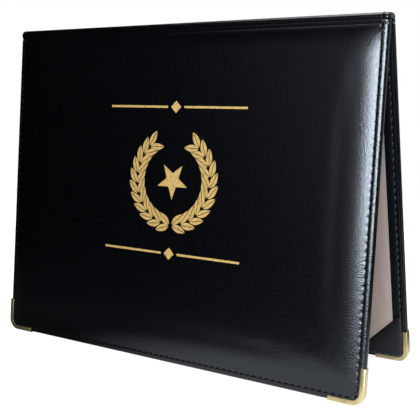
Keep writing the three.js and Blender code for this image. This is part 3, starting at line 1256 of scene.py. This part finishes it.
@dataclass
class SpineSkin:
    """The leatherette over the fold, rolled over at both ends, with the seam drawn across it there."""

    finishes: Finishes
    roll: float = 2.3
    groove_half: float = 0.8
    groove_depth: float = 0.1
    groove_shape: Pairs = ((1.1, 0.0), (0.5, 0.7), (0.0, 1.0), (-0.5, 0.7), (-1.1, 0.0))
    lip: Pairs = ((0.25, 0.0), (0.06, 0.12))
    round_steps: int = 8
    plain_start: float = 2.5
    plain_lines: int = 36

    def stations(self) -> list[Pair]:
        """Places along the right half, with how far the roof is drawn in there.

        Returns:
            Place and inset pairs, from the end to the middle.
        """
        end, seam = SIZES.half, SIZES.half - SIZES.seam_inset
        arc = bend((0, 0), self.roll, 0, 90, self.round_steps)
        rolled = [(end + x - self.roll, self.roll - y) for x, y in arc]
        shape = self.groove_shape
        groove = [(seam + way * self.groove_half, share * self.groove_depth) for way, share in shape]
        steps = np.linspace(seam - self.plain_start, 0, self.plain_lines)
        return [*rolled, *groove, *((float(x), 0.0) for x in steps)]

    def roof(self, inset: float) -> list[Pair]:
        """The roof across the fold.

        Args:
            inset: How far it is drawn in.

        Returns:
            Places across and heights, from the rear lip to the front lip.
        """
        half = SIZES.spine_width / 2 - inset
        radius = SIZES.spine_round - inset
        centre = SIZES.spine_height - SIZES.spine_round
        rear = [(half - way, SIZES.hinge_gap + rise) for way, rise in self.lip]
        rear += bend((half - radius, centre), radius, 0, 90, self.round_steps)
        return [*rear, (0.0, centre + radius), *((-y, z) for y, z in reversed(rear))]

    def build(self) -> None:
        """Models the spine's skin, closes its ends and dresses it."""
        half = self.stations()
        whole = [*half, *((-x, inset) for x, inset in half[-2::-1])]
        points = np.array([[(x, y, z) for y, z in self.roof(inset)] for x, inset in whole])
        skin = build_grid("spine_cover_skin", points, spine_matrix())
        reach = (SIZES.half - NEAR) * MM
        for end in (1, -1):
            edit_edges(skin, lambda place, end=end: end * place.x > reach)
            bpy.ops.mesh.edge_face_add()
            bpy.ops.object.mode_set(mode="OBJECT")
        face_outward(skin)
        thicken(skin, SIZES.skin)
        smooth(skin, degrees=50)
        settle(skin, "spine", "leatherette", self.finishes.leatherette, "spine_skin")


@dataclass
class CreaseWeb:
    """The strips that bend between the spine and one cover: leatherette outside and lining inside.

    Their profiles are ways in from the crease and heights above it, in the order that faces them out.
    """

    cover: Cover
    finishes: Finishes
    wall: float = 0.25
    end_inset: float = 0.9
    lines: int = 72
    outer: Pairs = ((0.5, 0.7), (0.42, 0.4), (0.4, 0.12), (0.42, -0.12), (0.42, -0.4), (0.42, -0.75))
    inner: Pairs = ((4.45, -1.9), (4.43, -1.3), (4.38, -0.8), (4.15, -0.35), (3.8, -0.05), (3.3, 0.08))

    def strip(self, word: str, profile: Pairs, material: Material) -> None:
        """Models one strip along the whole crease and dresses it.

        Args:
            word: Which strip it is.
            profile: Its profile.
            material: Its finish.
        """
        side = -self.cover.right
        crease = SIZES.spine_width / 2
        along = np.linspace(-1, 1, self.lines) * (SIZES.half - self.end_inset) * -side
        points = np.array([[(x, side * (crease - way), z) for x in along] for way, z in profile])
        web = build_grid(f"{self.cover.value}_{word}_crease", points, spine_matrix())
        thicken(web, self.wall)
        smooth(web, degrees=60)
        web.data.materials.append(material)
        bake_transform(web)
        log.info("%s bends between spine and %s", web.name, self.cover.body)

    def build(self) -> None:
        """Models the outer strip and the inner one."""
        self.strip("outer", self.outer, self.finishes.leatherette)
        self.strip("inner", self.inner, self.finishes.lining)


@dataclass
class CornerTab:
    """A leatherette triangle across a corner of the rear cover, sewn down on two sides."""

    name: str
    side: int
    upper: bool
    finishes: Finishes
    wall: float = 0.3
    foot_level: float = -0.25
    edge: Pairs = ((0.02, 0.5), (0.12, 0.2), (0.3, 0.1))
    sewn: Pairs = ((0.0, 0.2), (0.5, 0.05), (1.1, 0.0))
    flat_start: float = 6.5
    top_edge: Pairs = ((0.0, 1.1), (0.02, 0.5), (0.12, 0.2), (0.3, 0.08), (0.8, 0.0))
    turned: Pairs = ((0.12, 0.04), (0.12, 0.12), (0.04, 0.16), (-0.06, 0.18))

    @staticmethod
    def covers(x: float, z: float) -> bool:
        """Whether a place on the inside of the rear cover lies under one of the four tabs."""
        from_side, from_bottom = SIZES.half - abs(x), SIZES.cover_drop + z
        return from_side - z < SIZES.upper_tab_reach or from_side + from_bottom < SIZES.lower_tab_reach

    def rings(self) -> list[Pair]:
        """The tab's edge, pressed down by the seam.

        Returns:
            Insets and levels.
        """
        top = -SIZES.glue - SIZES.sheet_thickness - SIZES.glue - SIZES.tab
        edge = [(SIZES.tab_inset + way, top + drop) for way, drop in self.edge]
        sewn = [(SIZES.seam_inset + way, top + drop) for way, drop in self.sewn]
        foot = (SIZES.tab_inset, self.foot_level)
        return [foot, *edge, *sewn, (self.flat_start, top), (SIZES.cover_corner, top)]

    def build(self) -> None:
        """Models the tab from a sheet over the whole cover, cut off along the slanted edge."""
        rows = [(SIZES.tab_top + way, drop) for way, drop in self.top_edge]
        points = CoverSheet(self.rings(), [*rows, (SEAM.top, 0.0)], lines_a_stitch=2).points()
        matrix = Cover.REAR.matrix()
        tab = build_grid(self.name, points, matrix)
        leg = -SIZES.upper_tab_reach if self.upper else SIZES.lower_tab_reach - SIZES.cover_drop
        spot = matrix @ Vector((self.side * SIZES.half, 0, leg))
        out = matrix.to_3x3() @ Vector((-self.side, 0, -1 if self.upper else 1))
        out.normalize()
        down = matrix.to_3x3() @ Vector((0, -1, 0))
        edit_whole(tab)
        bpy.ops.mesh.bisect(plane_co=spot, plane_no=out, clear_outer=True, threshold=NEAR / 10 * MM)
        # The cut edge is turned over towards the sheet.
        for way, drop in self.turned:
            move = out * way * MM + down * drop
            bpy.ops.mesh.extrude_region_move(TRANSFORM_OT_translate={"value": move})
        bpy.ops.object.mode_set(mode="OBJECT")
        thicken(tab, self.wall)
        smooth(tab, degrees=50)
        node = self.name.replace("_skin", "")
        settle(tab, Cover.REAR.body, "leatherette", self.finishes.leatherette, node)


@dataclass
class DisplaySheet:
    """The blank card in the rear cover, bowed a little between its tabs."""

    finishes: Finishes
    bow: float = 0.5
    lines: tuple[int, int] = (57, 45)

    def build(self) -> None:
        """Models the sheet and dresses it."""
        across = np.linspace(-0.5, 0.5, self.lines[0])
        down = np.linspace(0, 1, self.lines[1])
        u, v = np.meshgrid(across, down)
        swell = np.cos(math.pi * u) ** 2 * np.sin(math.pi * v) ** 2
        level = -SIZES.glue - SIZES.sheet_thickness - self.bow * swell
        x, z = u * SIZES.sheet_width, -SIZES.top_margin - v * SIZES.sheet_height
        points = np.stack([x, SIZES.cover_edge - level, z], axis=-1)
        sheet = build_grid("certificate_sheet", points, Cover.REAR.matrix())
        thicken(sheet, SIZES.sheet_thickness)
        smooth(sheet, degrees=30)
        settle(sheet, Cover.REAR.body, "paper", self.finishes.card, "display_sheet")


@dataclass
class BrassCorner:
    """A pressed brass channel, bent round one free corner of a cover."""

    cover: Cover
    side: int
    finishes: Finishes
    bend_radius: float = 0.55
    bend_steps: int = 7
    lip: float = 0.25
    lip_drop: float = 0.04
    corner_steps: int = 14
    edge_round: float = 0.1
    edge_angle: float = 50.0

    def profile(self) -> list[Pair]:
        """The outside of the channel across its length, its two lips turned towards the leatherette.

        Returns:
            Ways out from the cover's edge, and levels.
        """
        radius, flange = self.bend_radius, SIZES.brass_flange
        high = SIZES.cover_edge + SIZES.brass_proud
        low = -SIZES.brass_seat - SIZES.brass
        centre = SIZES.brass_proud - radius
        outer = bend((centre, high - radius), radius, 90, 0, self.bend_steps)
        inner = bend((centre, low + radius), radius, 0, -90, self.bend_steps)
        start = [(-flange, high - self.lip_drop), (self.lip - flange, high)]
        end = [(self.lip - flange, low), (-flange, low + self.lip_drop)]
        return [*start, *outer, *inner, *end]

    def build(self) -> None:
        """Models one leg, turns it round the corner, draws out the other leg and dresses the piece."""
        side, corner, low = self.side, SIZES.cover_corner, SIZES.cover_corner - SIZES.cover_drop
        matrix = self.cover.matrix()
        across = [(side * (SIZES.half + out), SIZES.cover_edge - level) for out, level in self.profile()]
        ends = (SIZES.brass_leg - SIZES.cover_drop, low)
        points = np.array([[(x, y, z) for x, y in across] for z in ends])
        word = "right" if side == self.cover.right else "left"
        piece = build_grid(f"{self.cover.value}_brass_{word}", points, matrix)
        back = matrix.inverted()
        edit_edges(piece, lambda place: (back @ place).z < low + NEAR)
        centre = matrix @ Vector((side * (SIZES.half - corner), 0, low))
        axis = matrix.to_3x3() @ Vector((0, -side, 0))
        axis.normalize()
        bpy.ops.mesh.spin(steps=self.corner_steps, angle=math.pi / 2, center=centre, axis=axis)
        leg = matrix.to_3x3() @ Vector((-side * (SIZES.brass_leg - corner), 0, 0))
        bpy.ops.mesh.extrude_region_move(TRANSFORM_OT_translate={"value": leg})
        bpy.ops.mesh.select_all(action="SELECT")
        bpy.ops.mesh.remove_doubles(threshold=NEAR * MM)
        bpy.ops.object.mode_set(mode="OBJECT")
        face_outward(piece)
        thicken(piece, SIZES.brass, even=True)
        past = math.radians(self.edge_angle)
        width = self.edge_round * MM
        apply_modifier(piece, "BEVEL", width=width, segments=2, limit_method="ANGLE", angle_limit=past)
        smooth(piece, degrees=40)
        settle(piece, self.cover.body, "brass", self.finishes.brass, f"{self.cover.value}_corner_{word}")


@dataclass
class FoilOrnament:
    """A wreath round a star, between two rules, stamped in foil on the front pad."""

    foam: FoamSwell
    finishes: Finishes
    middle: Pair = (4.0, -103.0)
    wreath_radius: float = 30.0
    wreath_turns: Pair = (-78.0, 58.0)
    leaf: Pair = (11.5, 4.4)
    leaf_lean: float = 30.0
    leaf_spread: float = 3.4
    leaf_points: int = 9
    leaf_taper: float = 0.25
    leaves: int = 11
    rib: float = 0.45
    star_corners: int = 10
    star_radius: float = 13.0
    star_waist: float = 0.4
    rule: Pair = (112.0, 1.5)
    rule_drop: float = 50.0
    rule_steps: int = 12
    diamond_corners: int = 4
    diamond: float = 4.2
    diamond_room: float = 3.2
    film: float = 0.05

    def leaf_template(self) -> Piece:
        """Models a pointed leaf along X, with a bare rib down its middle.

        Returns:
            The leaf, flat, in millimetres about the origin.
        """
        length, width = self.leaf
        along = np.linspace(-1, 1, self.leaf_points)
        swell = (1 - along**2) * (1 - self.leaf_taper * along) * width / 2
        x, rib = along * length / 2, self.rib / 2
        lines = [np.stack([x, side, 0 * x], axis=-1) for side in (rib + 0 * x, rib + swell)]
        leaf = build_grid("leaf", np.array(lines), Matrix.Identity(4))
        apply_modifier(leaf, "MIRROR", use_axis=(False, True, False), use_mirror_merge=False)
        return leaf

    def disc_template(self, name: str, corners: int, radius: float, waist: float = 1.0) -> Piece:
        """Models a flat star or lozenge.

        Args:
            name: The template's name.
            corners: How many corners it has, the drawn-in ones among them.
            radius: How far its points reach.
            waist: How far every second corner reaches, as a share of that.

        Returns:
            The form, flat, in millimetres about the origin.
        """
        deselect_all()
        bpy.ops.mesh.primitive_circle_add(vertices=corners, radius=radius, fill_type="TRIFAN")
        form = take_new(name)
        for number, vertex in enumerate(form.data.vertices):
            if number % 2 and vertex.co.length > radius / 2:
                vertex.co *= waist
        return form

    def wreath(self) -> list[Matrix]:
        """Where the leaves lie: pairs along two branches that rise from the bottom.

        Returns:
            From the leaf's own frame to the ornament's frame.
        """
        places = []
        for side in (1, -1):
            for turn in np.radians(np.linspace(*self.wreath_turns, self.leaves)):
                for outward in (1, -1):
                    reach = self.wreath_radius + outward * self.leaf_spread
                    spot = Vector((side * reach * math.cos(turn), reach * math.sin(turn), 0))
                    heading = turn + math.pi / 2 - outward * math.radians(self.leaf_lean)
                    heading = heading if side > 0 else math.pi - heading
                    places.append(Matrix.Translation(spot) @ Matrix.Rotation(heading, 4, "Z"))
        return places

    def rules(self) -> list[Matrix]:
        """Where the rules lie: a pair above and a pair below, each broken in the middle.

        Returns:
            From a one-millimetre square to the ornament's frame.
        """
        length, height = self.rule
        gap = self.diamond_room * self.diamond
        places = []
        for level in (1, -1):
            for side in (1, -1):
                spot = Matrix.Translation((side * (length + gap) / 4, level * self.rule_drop, 0))
                places.append(spot @ Matrix.Diagonal(((length - gap) / 2, height, 1, 1)))
        return places

    def build(self) -> None:
        """Models the ornament flat, lays it on the pad and dresses it."""
        leaves = copy_to("leaves", self.leaf_template(), self.wreath())
        star = self.disc_template("star", self.star_corners, self.star_radius, self.star_waist)
        deselect_all()
        bpy.ops.mesh.primitive_grid_add(x_subdivisions=self.rule_steps, y_subdivisions=1, size=1)
        rules = copy_to("rules", take_new("rule"), self.rules())
        spots = [Matrix.Translation((0, level * self.rule_drop, 0)) for level in (1, -1)]
        diamond = self.disc_template("diamond", self.diamond_corners, self.diamond)
        diamonds = copy_to("diamonds", diamond, spots)
        ornament = join("foil_ornament", (leaves, star, rules, diamonds))
        flat = np.array([vertex.co[:2] for vertex in ornament.data.vertices])
        x, z = flat[:, 0] + self.middle[0], flat[:, 1] + self.middle[1]
        above = self.foam.height(x, z) + self.film
        place_points(ornament, np.stack([x, -above, z], axis=-1), Cover.FRONT.matrix())
        thicken(ornament, self.film)
        settle(ornament, Cover.FRONT.body, "brass", self.finishes.foil)


@dataclass(frozen=True)
class StudioCamera:
    """The photograph's camera, from a fit to the covers' outline."""

    place_mm: Triple = (315.9, -457.1, 213.6)
    yaw: float = 33.16
    pitch: float = 11.55
    roll: float = 1.88
    focal_pixels: float = 792.2
    picture_pixels: int = 420
    sensor_mm: float = 36.0
    nearest_mm: float = 10.0

    def build(self) -> None:
        """Creates the camera and makes it the scene's."""
        yaw, pitch, roll = (math.radians(a) for a in (self.yaw, self.pitch, self.roll))
        level = Vector((math.cos(yaw), math.sin(yaw), 0))
        forward = Vector((-math.sin(yaw), math.cos(yaw), 0))
        ahead = forward * math.cos(pitch) - Vector((0, 0, math.sin(pitch)))
        down = ahead.cross(level)
        right = level * math.cos(roll) + down * math.sin(roll)
        below = down * math.cos(roll) - level * math.sin(roll)
        turn = Matrix((right, -below, -ahead)).transposed().to_4x4()
        deselect_all()
        bpy.ops.object.camera_add()
        camera = take_new("photo_camera")
        camera.matrix_world = Matrix.Translation(Vector(self.place_mm) * MM) @ turn
        camera.data.sensor_width = self.sensor_mm
        camera.data.lens = self.sensor_mm * self.focal_pixels / self.picture_pixels
        camera.data.clip_start = self.nearest_mm * MM
        bpy.context.scene.camera = camera


@dataclass(frozen=True)
class SoftBox:
    """One rectangular studio lamp, aimed at a point. Places and sizes are in metres."""

    name: str
    place: Triple
    aim: Triple
    size: Pair
    watts: float
    colour: str = "#ffffff"

    def build(self) -> None:
        """Creates the lamp."""
        deselect_all()
        bpy.ops.object.light_add(type="AREA", location=self.place)
        lamp = take_new(self.name)
        lamp.rotation_euler = (Vector(self.aim) - Vector(self.place)).to_track_quat("-Z", "Y").to_euler()
        lamp.data.shape = "RECTANGLE"
        lamp.data.size, lamp.data.size_y = self.size
        lamp.data.energy = self.watts
        lamp.data.color = linear(self.colour)[:3]


@dataclass(frozen=True)
class Glow:
    """A bright region of the surroundings, with the cosines at which it starts and is full."""

    toward: Triple
    start: float
    full: float
    strength: float

    def add(self, tree: Tree, ray: Socket) -> bpy.types.Node:
        """Adds the region.

        Args:
            tree: The world's node tree.
            ray: The direction that is looked in.

        Returns:
            The node that gives the strength in that direction.
        """
        middle = Vector(self.toward).normalized()
        facing = add_node(tree, "VectorMath", {0: ray, 1: middle}, operation="DOT_PRODUCT").outputs["Value"]
        rise = {"Value": facing, "From Min": self.start, "From Max": self.full, "To Max": self.strength}
        return add_node(tree, "MapRange", rise, interpolation_type="SMOOTHSTEP")


@dataclass(frozen=True)
class Studio:
    """The white floor, the surroundings and the lamps. Sizes are in metres."""

    lamps: Sequence[SoftBox] = (
        SoftBox("key_softbox", (0.52, -0.95, 0.42), (0.10, -0.02, 0.13), (0.6, 0.6), 29.0, "#f6faff"),
        SoftBox("top_softbox", (0.1, 0.25, 1.3), (0.0, 0.0, 0.0), (1.2, 1.2), 28.0),
    )
    glows: Sequence[Glow] = (
        Glow((0.6, 0.8, 0.0), 0.3, 0.95, 0.45),
        Glow((0.1, -0.9, 0.4), 0.82, 0.95, 0.8),
    )
    floor_size: Pair = (1.7, 1.5)
    floor_middle: Triple = (0.25, -0.15, 0.0)
    floor_roughness: float = 0.9
    floor_glow: float = 1.15
    floor_glow_share: float = 0.7
    # The painted pool of light on the floor: its middle, its reach, where it starts to fade and its tone.
    pool_middle: Triple = (0.16, -0.05, 0.0)
    pool_reach: Triple = (0.26, 0.16, 1.0)
    pool_core: float = 0.45
    painted_pool_tone: float = 0.7

    def floor_material(self) -> Material:
        """Builds the floor's paper, which looks white and takes a shadow. To other rays its colour is a painted
        pool of light that fades to painted black shade.

        Returns:
            The node material.
        """
        material, tree, place = new_material("white studio paper")
        seen = add_node(tree, "LightPath").outputs["Is Camera Ray"]
        # For rays other than the camera's, a pool of light fading to black shade is painted into the paper's
        # colour.
        to_pool = {"Vector": place, "Location": self.pool_middle, "Scale": self.pool_reach}
        oval = add_node(tree, "Mapping", to_pool, vector_type="TEXTURE")
        away = add_node(tree, "VectorMath", {0: oval}, operation="LENGTH").outputs["Value"]
        fade = {"Value": away, "From Min": self.pool_core, "To Min": self.painted_pool_tone, "To Max": 0.0}
        lit = add_node(tree, "MapRange", fade, interpolation_type="SMOOTHSTEP")
        tone = add_node(tree, "Math", {0: lit, 1: seen}, operation="MAXIMUM")
        paper = add_node(tree, "BsdfPrincipled", {"Base Color": tone, "Roughness": self.floor_roughness})
        glow = add_node(tree, "Emission", {"Color": linear("#ffffff"), "Strength": self.floor_glow})
        share = add_node(tree, "Math", {0: seen, 1: self.floor_glow_share}, operation="MULTIPLY")
        mixed = add_node(tree, "MixShader", {0: share, 1: paper, 2: glow})
        add_node(tree, "OutputMaterial", {"Surface": mixed})
        return material

    def floor(self) -> None:
        """Lays the floor."""
        deselect_all()
        bpy.ops.mesh.primitive_plane_add(size=1, location=self.floor_middle)
        floor = take_new("studio_floor")
        floor.scale = (*self.floor_size, 1)
        bpy.ops.object.transform_apply()
        floor.data.materials.append(self.floor_material())

    def surroundings(self) -> None:
        """Makes a world that is white to the eye and lit from behind and from the front."""
        world = bpy.data.worlds.new("white studio")
        bpy.context.scene.world = world
        world.use_nodes = True
        tree = world.node_tree
        tree.nodes.clear()
        ray = add_node(tree, "TexCoord").outputs["Generated"]
        seen = add_node(tree, "LightPath").outputs["Is Camera Ray"]
        brightest = 0.0
        for glow in self.glows:
            brightest = add_node(tree, "Math", {0: glow.add(tree, ray), 1: brightest}, operation="MAXIMUM")
        room, white = (
            add_node(tree, "Background", {"Color": linear("#ffffff"), "Strength": strength})
            for strength in (brightest, 1.0)
        )
        mixed = add_node(tree, "MixShader", {0: seen, 1: room, 2: white})
        add_node(tree, "OutputWorld", {"Surface": mixed})

    def build(self) -> None:
        """Sets up the whole studio."""
        self.floor()
        self.surroundings()
        for lamp in self.lamps:
            lamp.build()
        bpy.context.scene.view_settings.view_transform = "Standard"


def dress_nodes(finishes: Finishes) -> None:
    """Gives every solid its finish.

    Args:
        finishes: The shared materials.
    """
    by_slot = {
        "leatherette": finishes.leatherette,
        "lining": finishes.lining,
        "thread": finishes.thread,
        "brass": finishes.brass,
        "greyboard": finishes.board,
        "foam": finishes.foam,
        "paper": finishes.card,
    }
    for part in frame["record"]["subparts"]:
        node = frame["nodes"][part["node"]]
        node.data.materials.clear()
        node.data.materials.append(by_slot[part["material_slot"]])


def main() -> None:
    """Builds the pieces in order, then the studio."""
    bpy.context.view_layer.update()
    StudioCamera().build()
    finishes = Finishes()
    dress_nodes(finishes)
    foam = FoamSwell()
    foam.run()
    stitching = Stitching(finishes)
    for cover in Cover:
        PaddedSkin(cover, foam, finishes).build()
        Lining(cover, finishes).build()
        CreaseWeb(cover, finishes).build()
        stitching.build(cover)
        for side in (1, -1):
            BrassCorner(cover, side, finishes).build()
    FoilOrnament(foam, finishes).build()
    SpineSkin(finishes).build()
    stitching.build_spine()
    DisplaySheet(finishes).build()
    for side, word in ((Cover.REAR.right, "right"), (-Cover.REAR.right, "left")):
        CornerTab(f"tab_upper_{word}_skin", side, True, finishes).build()
        CornerTab(f"tab_lower_{word}_skin", side, False, finishes).build()
    Studio().build()


if __name__ == "__main__":
    main()
